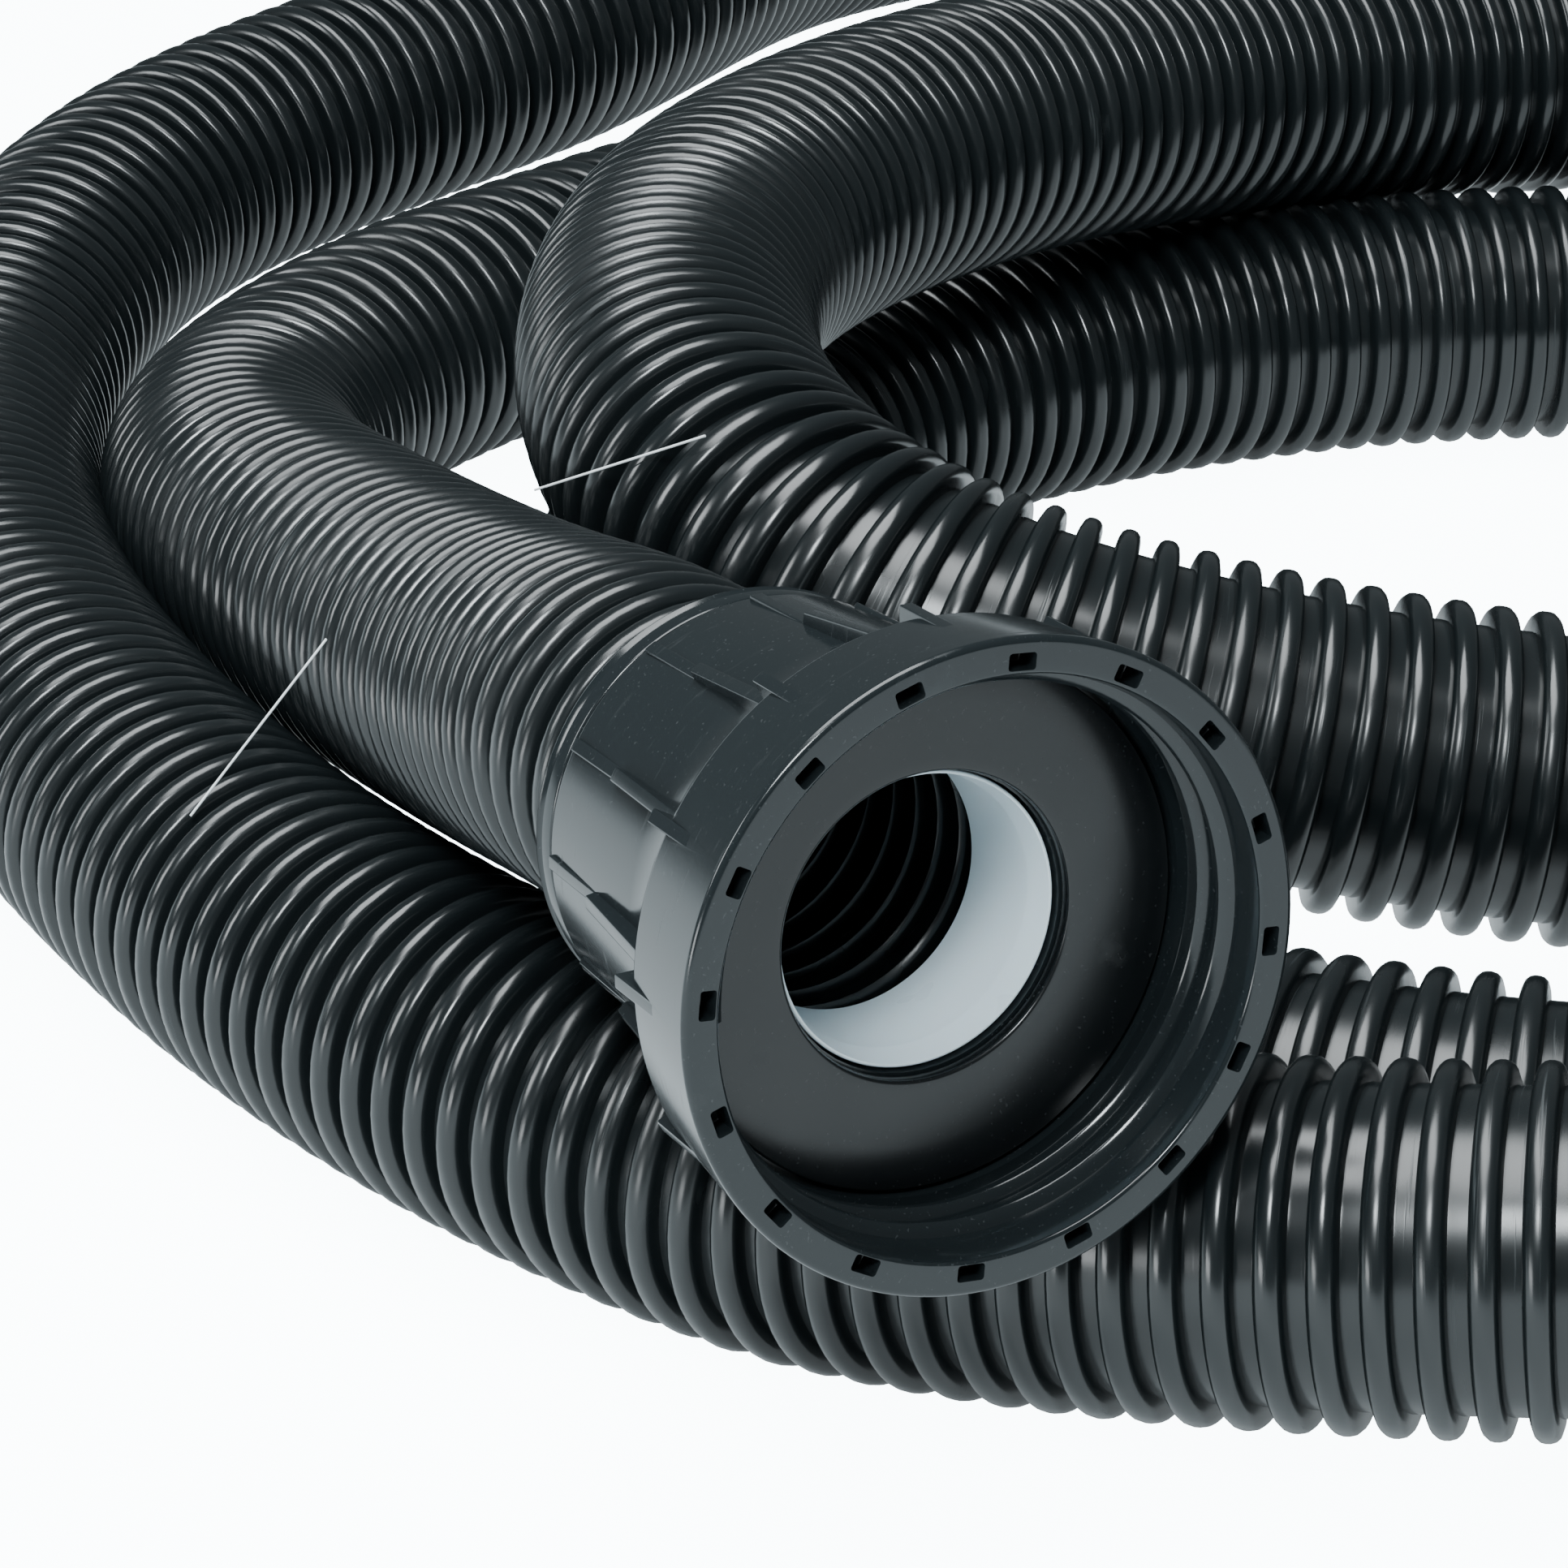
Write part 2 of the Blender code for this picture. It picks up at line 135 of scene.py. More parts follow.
class HoseSettings(bpy.types.PropertyGroup):
    diameter: FloatProperty(
        name="Diameter", description="Outside the ribs", default=44 * MM, subtype="DISTANCE")
    rib_pitch: FloatProperty(
        name="Rib pitch", description="From one rib to the next", default=5.9 * MM, subtype="DISTANCE")
    rib_height: FloatProperty(
        name="Rib height", description="From valley to crest", default=2.9 * MM, subtype="DISTANCE")
    rib_width: FloatProperty(
        name="Rib width", description="Share of the pitch that a rib takes", default=0.62, subtype="FACTOR")
    wall: FloatProperty(
        name="Wall", description="Thickness of the hose's wall", default=0.9 * MM, subtype="DISTANCE")
    lined_length: FloatProperty(
        name="Lined length", description="How far in the inner wall is modelled from each cut end",
        default=160 * MM, subtype="DISTANCE")
    stretches: IntProperty(name="Stretches", description="Pieces that the hose is made in", default=7)
    sides: IntProperty(name="Sides", description="Points round the hose", default=52)
    colour: FloatVectorProperty(
        name="Colour", description="Base colour of the hose", default=(0.0058, 0.0080, 0.0088),
        subtype="COLOR")


class UnionSettings(bpy.types.PropertyGroup):
    nut_colour: FloatVectorProperty(
        name="Nut colour", description="Base colour of the nut and tail", default=(0.0085, 0.0115, 0.0128),
        subtype="COLOR")
    liner_colour: FloatVectorProperty(
        name="Liner colour", description="Base colour of the white bush", default=(0.80, 0.91, 0.97),
        subtype="COLOR")
    rubber_colour: FloatVectorProperty(
        name="Rubber colour", description="Base colour of washer and seals", default=(0.0045, 0.0056, 0.0062),
        subtype="COLOR")
    thread_colour: FloatVectorProperty(
        name="Thread colour", description="Base colour of the clear ties", default=(0.80, 0.84, 0.86),
        subtype="COLOR")


class StageSettings(bpy.types.PropertyGroup):
    camera_height: FloatProperty(
        name="Camera height", description="Above the floor", default=0.3345, subtype="DISTANCE")
    camera_pitch: FloatProperty(
        name="Camera pitch", description="Down from level", default=math.radians(23.0), subtype="ANGLE")
    camera_heading: FloatProperty(
        name="Camera heading", description="Clockwise from +Y", default=math.radians(27.745),
        subtype="ANGLE")
    focal_length: FloatProperty(
        name="Focal length", description="For a 36 mm sensor, in millimetres", default=130.43)
    key_power: FloatProperty(name="Key power", description="Power of the large overhead light", default=34.0)


# ---------------------------------------------------------------- helpers

def link(obj):
    bpy.context.scene.collection.objects.link(obj)
    return obj


def object_from(name, mesh_work, material, smooth_angle=32):
    """Closes a bmesh into a new object with its material, smooth but for edges past the angle."""
    mesh = bpy.data.meshes.new(name)
    mesh_work.to_mesh(mesh)
    mesh_work.free()
    mesh.shade_smooth()
    mesh.set_sharp_from_angle(angle=math.radians(smooth_angle))
    mesh.materials.append(material)
    return link(bpy.data.objects.new(name, mesh))


def spun(profile, sides, sign=1):
    """A bmesh turned about Z from a closed or pole-to-pole profile of (radius, height)."""
    work = bmesh.new()
    verts = [work.verts.new((r, 0.0, z)) for r, z in profile]
    loop = list(zip(verts, verts[1:]))
    if profile[0][0] > 1e-6:
        loop.append((verts[-1], verts[0]))
    edges = [work.edges.new(pair) for pair in loop]
    bmesh.ops.spin(
        work, geom=verts + edges, cent=(0, 0, 0), axis=(0, 0, 1), angle=2 * math.pi * sign,
        steps=sides, use_merge=True, use_duplicate=False)
    bmesh.ops.remove_doubles(work, verts=work.verts, dist=1e-6)
    bmesh.ops.recalc_face_normals(work, faces=work.faces)
    return work


def union_frame(joint_name):
    """The matrix of a union: origin at its open face, Z into the hose, Y up."""
    joint = JOINTS[joint_name]
    axis = Vector(joint["axis"])
    turn = axis.to_track_quat("Z", "Y").to_matrix().to_4x4()
    return Matrix.Translation(Vector(joint["pos_m"])) @ turn


# ---------------------------------------------------------------- route

def smooth_curve(points, samples):
    """Points along the natural cubic through the given ones, spaced by the root of their distance."""
    points = np.array(points)
    steps = np.sqrt(np.linalg.norm(np.diff(points, axis=0), axis=1))
    knots = np.concatenate([[0.0], np.cumsum(steps)])
    count = len(points)
    system = np.eye(count)
    right = np.zeros((count, 3))
    for i in range(1, count - 1):
        system[i, i - 1:i + 2] = steps[i - 1], 2 * (steps[i - 1] + steps[i]), steps[i]
        after = (points[i + 1] - points[i]) / steps[i]
        before = (points[i] - points[i - 1]) / steps[i - 1]
        right[i] = 6 * (after - before)
    bends = np.linalg.solve(system, right)
    along = np.linspace(0, knots[-1], samples)
    span = np.clip(np.searchsorted(knots, along, side="right") - 1, 0, count - 2)
    h = steps[span][:, None]
    a = (knots[span + 1] - along)[:, None]
    b = (along - knots[span])[:, None]
    return (
        (bends[span] * a**3 + bends[span + 1] * b**3) / (6 * h)
        + (points[span] / h - bends[span] * h / 6) * a
        + (points[span + 1] / h - bends[span + 1] * h / 6) * b
    )


class Route:
    """The hose's centre line, with a frame at each point that doesn't twist."""

    def __init__(self, radius):
        near, far = union_frame("near_nut_spin"), union_frame("far_nut_spin")
        heights = (HOSE_START, *HOSE_STRAIGHT)
        points = [near @ Vector((0, 0, height)) for height in heights]
        points += [Vector(point) for point in ROUTE]
        points += [far @ Vector((0, 0, height)) for height in heights[::-1]]
        line = smooth_curve(points, CURVE_SAMPLES)
        line[:, 2] = np.maximum(line[:, 2], radius)
        self.line = line
        self.along = np.concatenate([[0.0], np.cumsum(np.linalg.norm(np.diff(line, axis=0), axis=1))])
        self.length = self.along[-1]
        ahead = np.gradient(line, axis=0)
        self.ahead = ahead / np.linalg.norm(ahead, axis=1)[:, None]
        self.side = np.zeros_like(line)
        side = np.cross(self.ahead[0], (0, 0, 1))
        for i, direction in enumerate(self.ahead):
            side = side - direction * side.dot(direction)
            side = side / np.linalg.norm(side)
            self.side[i] = side

    def pull_ribs(self, hose):
        """Works out how many ribs the hose has, and where along it each one lies."""
        marks, pulls = zip(*PULLED)
        pitch = hose.rib_pitch * np.interp(self.along, marks, pulls)
        step = np.diff(self.along) * 2 / (pitch[1:] + pitch[:-1])
        count = np.concatenate([[0.0], np.cumsum(step)])
        self.ribs = round(count[-1])
        self.rib_at = count * self.ribs / count[-1]

    def rib_place(self, rib):
        """How far along the hose a rib, or a part of one, lies."""
        return np.interp(rib, self.rib_at, self.along)

    def at(self, along, table):
        along = np.clip(along, 0, self.length)
        return np.column_stack([np.interp(along, self.along, table[:, k]) for k in range(3)])

    def bend(self, straight):
        """Points of a straight hose along Z, carried to where the hose lies."""
        centre = self.at(straight[:, 2], self.line)
        ahead = self.at(straight[:, 2], self.ahead)
        ahead /= np.linalg.norm(ahead, axis=1)[:, None]
        side = self.at(straight[:, 2], self.side)
        side -= ahead * (side * ahead).sum(axis=1)[:, None]
        side /= np.linalg.norm(side, axis=1)[:, None]
        up = np.cross(ahead, side)
        return centre + side * straight[:, :1] + up * straight[:, 1:2]


# ---------------------------------------------------------------- materials

def new_material(name, colour, roughness):
    material = bpy.data.materials.new(name)
    material.use_nodes = True
    shader = material.node_tree.nodes["Principled BSDF"]
    shader.inputs["Base Color"].default_value = (*colour, 1)
    shader.inputs["Roughness"].default_value = roughness
    return material, material.node_tree, shader


def group_socket(group, name, direction, kind="NodeSocketFloat", value=None):
    socket = group.interface.new_socket(name=name, in_out=direction, socket_type=kind)
    if value is not None:
        socket.default_value = value


def math_node(tree, operation, first, second=None, clamp=False):
    node = tree.nodes.new("ShaderNodeMath")
    node.operation = operation
    node.use_clamp = clamp
    for socket, value in zip(node.inputs, (first, second)):
        if isinstance(value, bpy.types.NodeSocket):
            tree.links.new(value, socket)
        elif value is not None:
            socket.default_value = value
    return node.outputs[0]


def noise_node(tree, vector, scale, detail=2.0, roughness=0.5):
    node = tree.nodes.new("ShaderNodeTexNoise")
    tree.links.new(vector, node.inputs["Vector"])
    node.inputs["Scale"].default_value = scale
    node.inputs["Detail"].default_value = detail
    node.inputs["Roughness"].default_value = roughness
    return node.outputs["Fac"]


def ramp_node(tree, value, low, high, low_value=0.0, high_value=1.0):
    node = tree.nodes.new("ShaderNodeMapRange")
    node.inputs["From Min"].default_value = low
    node.inputs["From Max"].default_value = high
    node.inputs["To Min"].default_value = low_value
    node.inputs["To Max"].default_value = high_value
    tree.links.new(value, node.inputs["Value"])
    return node.outputs["Result"]


def scaled_vector(tree, vector, scale):
    node = tree.nodes.new("ShaderNodeMapping")
    node.inputs["Scale"].default_value = scale
    tree.links.new(vector, node.inputs["Vector"])
    return node.outputs["Vector"]


def wear_group():
    """Fine scratches one way, soft dull patches, and dust specks, from any coordinate in metres."""
    group = bpy.data.node_groups.new("Handling Wear", "ShaderNodeTree")
    group_socket(group, "Vector", "INPUT", "NodeSocketVector")
    group_socket(group, "Stretch", "INPUT", "NodeSocketVector", (1, 1, 1))
    group_socket(group, "Scratches", "OUTPUT")
    group_socket(group, "Patches", "OUTPUT")
    group_socket(group, "Specks", "OUTPUT")
    start = group.nodes.new("NodeGroupInput")
    end = group.nodes.new("NodeGroupOutput")
    stretch = group.nodes.new("ShaderNodeVectorMath")
    stretch.operation = "MULTIPLY"
    group.links.new(start.outputs["Vector"], stretch.inputs[0])
    group.links.new(start.outputs["Stretch"], stretch.inputs[1])
    fine = noise_node(group, stretch.outputs[0], 900.0, 3.0, 0.6)
    lines = ramp_node(group, fine, 0.60, 0.74)
    where = noise_node(group, start.outputs["Vector"], 38.0, 2.0)
    patches = ramp_node(group, where, 0.44, 0.70)
    group.links.new(math_node(group, "MULTIPLY", lines, patches, True), end.inputs["Scratches"])
    group.links.new(patches, end.inputs["Patches"])
    dust = noise_node(group, start.outputs["Vector"], 2600.0, 0.0)
    group.links.new(ramp_node(group, dust, 0.76, 0.82), end.inputs["Specks"])
    return group


def add_wear(tree, group, vector, stretch):
    node = tree.nodes.new("ShaderNodeGroup")
    node.node_tree = group
    tree.links.new(vector, node.inputs["Vector"])
    node.inputs["Stretch"].default_value = stretch
    return node


def mixed_colour(tree, amount, low, high):
    node = tree.nodes.new("ShaderNodeMix")
    node.data_type = "RGBA"
    tree.links.new(amount, node.inputs["Factor"])
    node.inputs["A"].default_value = (*low, 1)
    node.inputs["B"].default_value = (*high, 1)
    return node.outputs["Result"]


def add_bump(tree, shader, height, distance, strength):
    bump = tree.nodes.new("ShaderNodeBump")
    bump.inputs["Distance"].default_value = distance
    bump.inputs["Strength"].default_value = strength
    tree.links.new(height, bump.inputs["Height"])
    tree.links.new(bump.outputs["Normal"], shader.inputs["Normal"])


def hose_material(colour, wear):
    """Glossy near-black extruded plastic, dulled and streaked along its ribs where it has rubbed."""
    material, tree, shader = new_material("hose_plastic", colour, 0.2)
    straight = tree.nodes.new("ShaderNodeAttribute")
    straight.attribute_name = "straight"
    marks = add_wear(tree, wear, straight.outputs["Vector"], (0.05, 0.05, 1.6))
    cloud = noise_node(tree, straight.outputs["Vector"], 55.0, 3.0)
    base = ramp_node(tree, cloud, 0.3, 0.7, 0.17, 0.26)
    scratched = math_node(tree, "MULTIPLY", marks.outputs["Scratches"], 0.30)
    dulled = math_node(tree, "MULTIPLY", marks.outputs["Patches"], 0.06)
    rough = math_node(tree, "ADD", math_node(tree, "ADD", base, scratched), dulled, True)
    tree.links.new(rough, shader.inputs["Roughness"])
    light = tuple(min(1.0, 3.0 * c + 0.018) for c in colour)
    tint = mixed_colour(tree, math_node(tree, "MULTIPLY", marks.outputs["Scratches"], 0.8), colour, light)
    tree.links.new(tint, shader.inputs["Base Color"])
    ripple = noise_node(tree, scaled_vector(tree, straight.outputs["Vector"], (1.0, 1.0, 0.7)), 120.0, 1.0)
    rubbed = math_node(tree, "MULTIPLY", marks.outputs["Scratches"], -0.25)
    add_bump(tree, shader, math_node(tree, "ADD", ripple, rubbed), 0.25 * MM, 0.35)
    shader.inputs["IOR"].default_value = 1.52
    return material


def moulded_material(name, colour, wear, roughness, stretch=(0.15, 1.0, 0.15)):
    """Satin moulded plastic: faint grain, fine scratches and a little dust."""
    material, tree, shader = new_material(name, colour, roughness)
    place = tree.nodes.new("ShaderNodeTexCoord")
    marks = add_wear(tree, wear, place.outputs["Object"], stretch)
    cloud = noise_node(tree, place.outputs["Object"], 90.0, 3.0)
    base = ramp_node(tree, cloud, 0.3, 0.7, roughness - 0.02, roughness + 0.03)
    rough = math_node(
        tree, "ADD", base, math_node(tree, "MULTIPLY", marks.outputs["Scratches"], 0.22), True)
    tree.links.new(rough, shader.inputs["Roughness"])
    light = tuple(min(1.0, 1.6 * c + 0.02) for c in colour)
    spots = math_node(
        tree, "ADD", math_node(tree, "MULTIPLY", marks.outputs["Scratches"], 0.5),
        math_node(tree, "MULTIPLY", marks.outputs["Specks"], 0.7), True)
    tree.links.new(mixed_colour(tree, spots, colour, light), shader.inputs["Base Color"])
    grain = noise_node(tree, place.outputs["Object"], 1400.0, 2.0)
    add_bump(tree, shader, grain, 0.02 * MM, 0.12)
    shader.inputs["IOR"].default_value = 1.46
    return material


def liner_material(colour):
    """White plastic, slightly bluish, faintly see-through at its edges."""
    material, tree, shader = new_material("liner_plastic", colour, 0.3)
    place = tree.nodes.new("ShaderNodeTexCoord")
    cloud = noise_node(tree, place.outputs["Object"], 70.0, 3.0)
    tree.links.new(ramp_node(tree, cloud, 0.3, 0.7, 0.26, 0.36), shader.inputs["Roughness"])
    darker = tuple(c * 0.94 for c in colour)
    tree.links.new(mixed_colour(tree, cloud, darker, colour), shader.inputs["Base Color"])
    add_bump(tree, shader, noise_node(tree, place.outputs["Object"], 500.0, 2.0), 0.02 * MM, 0.2)
    shader.inputs["Subsurface Weight"].default_value = 0.12
    shader.inputs["Subsurface Radius"].default_value = (0.004, 0.005, 0.006)
    return material


def tie_material(colour):
    material, tree, shader = new_material("clear_thread", colour, 0.15)
    place = tree.nodes.new("ShaderNodeTexCoord")
    cloud = noise_node(tree, place.outputs["Object"], 400.0, 2.0)
    tree.links.new(ramp_node(tree, cloud, 0.3, 0.7, 0.12, 0.25), shader.inputs["Roughness"])
    return material


# ---------------------------------------------------------------- hose

def rib_profile(hose, first, last, inner=False):
    """(radius, height) from the first rib to before the last: flat valleys and round-topped ribs."""
    crest = hose.diameter / 2
    valley = crest - hose.rib_height
    half = hose.rib_width / 2
    lifts = (0.0, 0.5, 0.80, 0.95, 1.0)
    places = (1.0, 0.93, 0.76, 0.48, 0.17)
    if inner:
        lifts, places = (0.0, 0.75, 1.0), (0.92, 0.62, 0.2)
    shape = list(zip(places, lifts))
    outline = []
    for rib in range(first, last):
        centre = (rib + 0.5) * hose.rib_pitch
        for place, lift in shape:
            outline.append((valley + lift * hose.rib_height, centre - place * half * hose.rib_pitch))
        for place, lift in shape[::-1]:
            outline.append((valley + lift * hose.rib_height, centre + place * half * hose.rib_pitch))
    if inner:
        outline = [(valley + (r - valley) * INNER_RELIEF - hose.wall, z) for r, z in outline]
    return outline


def stretch_outline(hose, first, last, ribs):
    """A whole stretch's outline, pole to pole. A stretch with a cut end has an inner wall there."""
    valley = hose.diameter / 2 - hose.rib_height
    low, high = first * hose.rib_pitch, last * hose.rib_pitch
    lined = int(hose.lined_length / hose.rib_pitch)
    outline = [(valley, low), *rib_profile(hose, first, last), (valley, high)]
    bore = valley - hose.wall
    if first == 0:
        wall = rib_profile(hose, 0, lined, inner=True)
        floor = lined * hose.rib_pitch
        outline = [(0, floor), (bore, floor), *wall[::-1], (bore, low), *outline]
    else:
        outline = [(0, low), *outline]
    if last == ribs:
        wall = rib_profile(hose, last - lined, last, inner=True)
        floor = (last - lined) * hose.rib_pitch
        outline = [*outline, (bore, high), *wall[::-1], (bore, floor), (0, floor)]
    else:
        outline = [*outline, (0, high)]
    return outline


def hose_stretch(name, outline, hose, route, material):
    """Spins one straight stretch, keeps its straight place as an attribute, and lays it along the route."""
    work = spun(outline, hose.sides)
    bmesh.ops.triangulate(work, faces=[face for face in work.faces if len(face.verts) > 4])
    piece = object_from(name, work, material, 40)
    mesh = piece.data
    places = np.empty(3 * len(mesh.vertices), np.float32)
    mesh.vertices.foreach_get("co", places)
    straight = places.reshape(-1, 3).astype(np.float64)
    kept = mesh.attributes.new("straight", "FLOAT_VECTOR", "POINT")
    kept.data.foreach_set("vector", straight.astype(np.float32).ravel())
    straight[:, 2] = route.rib_place(straight[:, 2] / hose.rib_pitch)
    mesh.vertices.foreach_set("co", route.bend(straight).astype(np.float32).ravel())
    mesh.update()
    return piece


class HOSE_OT_corrugated_hose(bpy.types.Operator):
    """Makes the corrugated hose along its route, in stretches that follow one another"""

    bl_idname = "object.corrugated_hose"
    bl_label = "Corrugated Hose"

    def execute(self, context):
        hose = context.scene.hose_settings
        route = Route(hose.diameter / 2)
        route.pull_ribs(hose)
        ribs = route.ribs
        material = hose_material(tuple(hose.colour), bpy.data.node_groups["Handling Wear"])
        limits = [round(ribs * i / hose.stretches) for i in range(hose.stretches + 1)]
        far_pieces = [frame["nodes"]["far_hose_tail"], frame["nodes"]["far_end_seal"]]
        far_pieces += [bpy.data.objects[name] for name in (
            "far_nut", "far_thread", "far_inner_bush_turned", "far_sealing_washer_turned",
            "far_lock_collar_turned")]
        for i, (first, last) in enumerate(zip(limits, limits[1:])):
            piece = hose_stretch(
                f"hose_stretch_{i + 1}", stretch_outline(hose, first, last, ribs), hose, route, material)
            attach(piece, "root")
            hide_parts("hose")
        return {"FINISHED"}


# ---------------------------------------------------------------- unions

def arc(centre, radius, first, last, steps):
    """Points of a rounded edge, by angles in degrees from +r towards +height."""
    angles = (math.radians(first + (last - first) * i / steps) for i in range(steps + 1))
    return [(centre[0] + radius * math.cos(a), centre[1] + radius * math.sin(a)) for a in angles]


def millimetres(outline):
    return [(r * MM, z * MM) for r, z in outline]


def nut_outline():
    """The nut's section in millimetres, as its solid's, with every edge rounded."""
    return [
        (24.9, 55.4), *arc((25.5, 55.4), 0.6, 180, 90, 3), *arc((26.3, 55.4), 0.6, 90, 0, 3),
        (28.6, 32.0), (29.0, 26.2), (31.2, 23.0), (33.0, 20.6),
        (34.3, 16.3), *arc((34.9, 16.3), 0.4, 180, 270, 3), *arc((35.6, 15.3), 0.6, 90, 0, 4),
        *arc((37.2, 0.8), 0.8, 0, -90, 5), (35.0, 0.0), *arc((34.2, 0.5), 0.5, -90, -180, 3),
        (33.3, 2.2), (33.2, 14.3), *arc((32.9, 14.3), 0.3, 0, 90, 2), (31.8, 14.6), (31.8, 19.9),
        (24.9, 19.9),
    ]


def rib_outline():
    """One rib and its lug, from the side, as (radius, height) in millimetres."""
    return [
        (27.5, 55.2), (28.0, 42.2), (29.3, 41.8), (32.0, 22.0), (32.9, 19.4), (36.7, 19.3),
        (36.9, 9.5), (34.6, 9.5), (34.6, 14.0), (32.3, 19.0), (32.1, 20.2), (26.5, 26.5), (25.9, 55.2),
    ]


def ring_of_bars(name, outline, width, count, turn, rounding):
    """A helper: bars extruded from a side outline, with rounded edges, set round Z from +Y."""
    bar = bmesh.new()
    face = bar.faces.new([bar.verts.new((r * MM, -width * MM / 2, z * MM)) for r, z in outline])
    made = bmesh.ops.extrude_face_region(bar, geom=[face])["geom"]
    tops = [item for item in made if isinstance(item, bmesh.types.BMVert)]
    bmesh.ops.translate(bar, verts=tops, vec=(0, width * MM, 0))
    bmesh.ops.recalc_face_normals(bar, faces=bar.faces)
    bmesh.ops.bevel(
        bar, geom=bar.edges[:], offset=rounding * MM, offset_type="OFFSET", segments=2, profile=0.5,
        affect="EDGES", clamp_overlap=True, material=-1)
    single = bpy.data.meshes.new(name)
    bar.to_mesh(single)
    bar.free()
    whole = bmesh.new()
    for i in range(count):
        start = len(whole.verts)
        whole.from_mesh(single)
        whole.verts.ensure_lookup_table()
        angle = math.pi / 2 + turn + 2 * math.pi * i / count
        bmesh.ops.rotate(whole, verts=whole.verts[start:], matrix=Matrix.Rotation(angle, 3, "Z"))
    whole.to_mesh(single)
    whole.free()
    return link(bpy.data.objects.new(name, single))


def apply_booleans(obj, operands):
    """Joins each operand to the object's mesh or cuts it away, and removes the operand."""
    for other, operation in operands:
        boolean = obj.modifiers.new(other.name, "BOOLEAN")
        boolean.operation = operation
        boolean.object = other
        boolean.solver = "EXACT"
    bpy.context.view_layer.update()
    graph = bpy.context.evaluated_depsgraph_get()
    mesh = bpy.data.meshes.new_from_object(obj.evaluated_get(graph))
    for other, _ in operands:
        bpy.data.objects.remove(other)
    obj.modifiers.clear()
    obj.data = mesh


def thread_ridge(matrix):
    """A bmesh of the nut's inside thread: a rounded ridge that rises from the wall and sinks back."""
    work = bmesh.new()
    verts = [work.verts.new((r * MM, 0, (THREAD_START + z) * MM)) for r, z in THREAD_SECTION]
    edges = [work.edges.new(pair) for pair in zip(verts, verts[1:] + verts[:1])]
    steps = int(THREAD_STEPS_PER_TURN * THREAD_TURNS)
    bmesh.ops.spin(
        work, geom=verts + edges, cent=(0, 0, 0), axis=(0, 0, 1), angle=2 * math.pi * THREAD_TURNS,
        steps=steps, dvec=(0, 0, THREAD_PITCH * THREAD_TURNS * MM / steps), use_merge=False,
        use_duplicate=False)
    for vert in work.verts:
        place = (vert.co.z / MM - THREAD_START) / THREAD_PITCH
        start = place * THREAD_FADE + 0.1
        end = (THREAD_TURNS + 0.5 - place) * THREAD_FADE + 0.1
        fade = min(1.0, max(0.0, start), max(0.0, end))
        radius = math.hypot(vert.co.x, vert.co.y)
        wanted = THREAD_ROOT * MM + (radius - THREAD_ROOT * MM) * fade
        vert.co.x *= wanted / radius
        vert.co.y *= wanted / radius
    bmesh.ops.holes_fill(work, edges=[edge for edge in work.edges if edge.is_boundary], sides=0)
    bmesh.ops.recalc_face_normals(work, faces=work.faces)
    bmesh.ops.transform(work, matrix=matrix, verts=work.verts)
    return work


def place_piece(piece, body, nodes):
    """Sets a piece on its body, in the stead of these nodes."""
    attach(piece, body)
    if nodes:
        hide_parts(*nodes)


def turned_piece(name, outline, matrix, material):
    """A closed ring from its outline in millimetres, set at its union."""
    work = spun(millimetres(outline), PIECE_SIDES)
    bmesh.ops.transform(work, matrix=matrix, verts=work.verts)
    return object_from(name, work, material, PIECE_SMOOTH_ANGLE)


def union_nut(prefix, matrix, material):
    """The nut with its ribs and pockets cut and joined, and its thread as a piece of its own."""
    nut = object_from(prefix + "_nut", spun(millimetres(nut_outline()), NUT_SIDES), material)
    ribs = ring_of_bars(prefix + "_ribs", rib_outline(), RIB_WIDTH, RIBS, 0.0, RIB_ROUNDING)
    pockets = ring_of_bars(
        prefix + "_pockets", POCKET_OUTLINE, POCKET_WIDTH, POCKETS, POCKET_TURN, POCKET_ROUNDING)
    apply_booleans(nut, [(ribs, "UNION"), (pockets, "DIFFERENCE")])
    nut.data.transform(matrix)
    nut.data.shade_smooth()
    nut.data.set_sharp_from_angle(angle=math.radians(NUT_SMOOTH_ANGLE))
    even = nut.modifiers.new("Even Shading", "WEIGHTED_NORMAL")
    even.keep_sharp = True
    place_piece(nut, prefix + "_nut", [prefix + "_union_nut"])
    thread = object_from(prefix + "_thread", thread_ridge(matrix), material, 28)
    place_piece(thread, prefix + "_nut", [])


def bush_outline():
    return [
        (17.5, 34.3), (17.5, 18.4), *arc((17.2, 18.2), 0.3, 0, -120, 4), (16.75, 19.4),
        (16.35, 21.4), (16.3, 21.8), (16.3, 34.3),
    ]


def washer_outline():
    return [
        (31.2, 16.9), (31.2, 15.5), *arc((30.9, 15.6), 0.3, 0, -90, 3), (26.0, 15.3), (19.6, 15.35),
        *arc((18.6, 15.85), 0.5, -90, -180, 4), (18.1, 16.9),
    ]


def collar_outline():
    return [
        (24.7, 60.8), (24.7, 56.6), *arc((26.1, 57.0), 0.4, -90, 0, 3), (26.5, 58.9), (26.1, 59.2),
        (26.1, 59.7), *arc((26.0, 60.3), 0.5, 0, 90, 3),
    ][::-1]


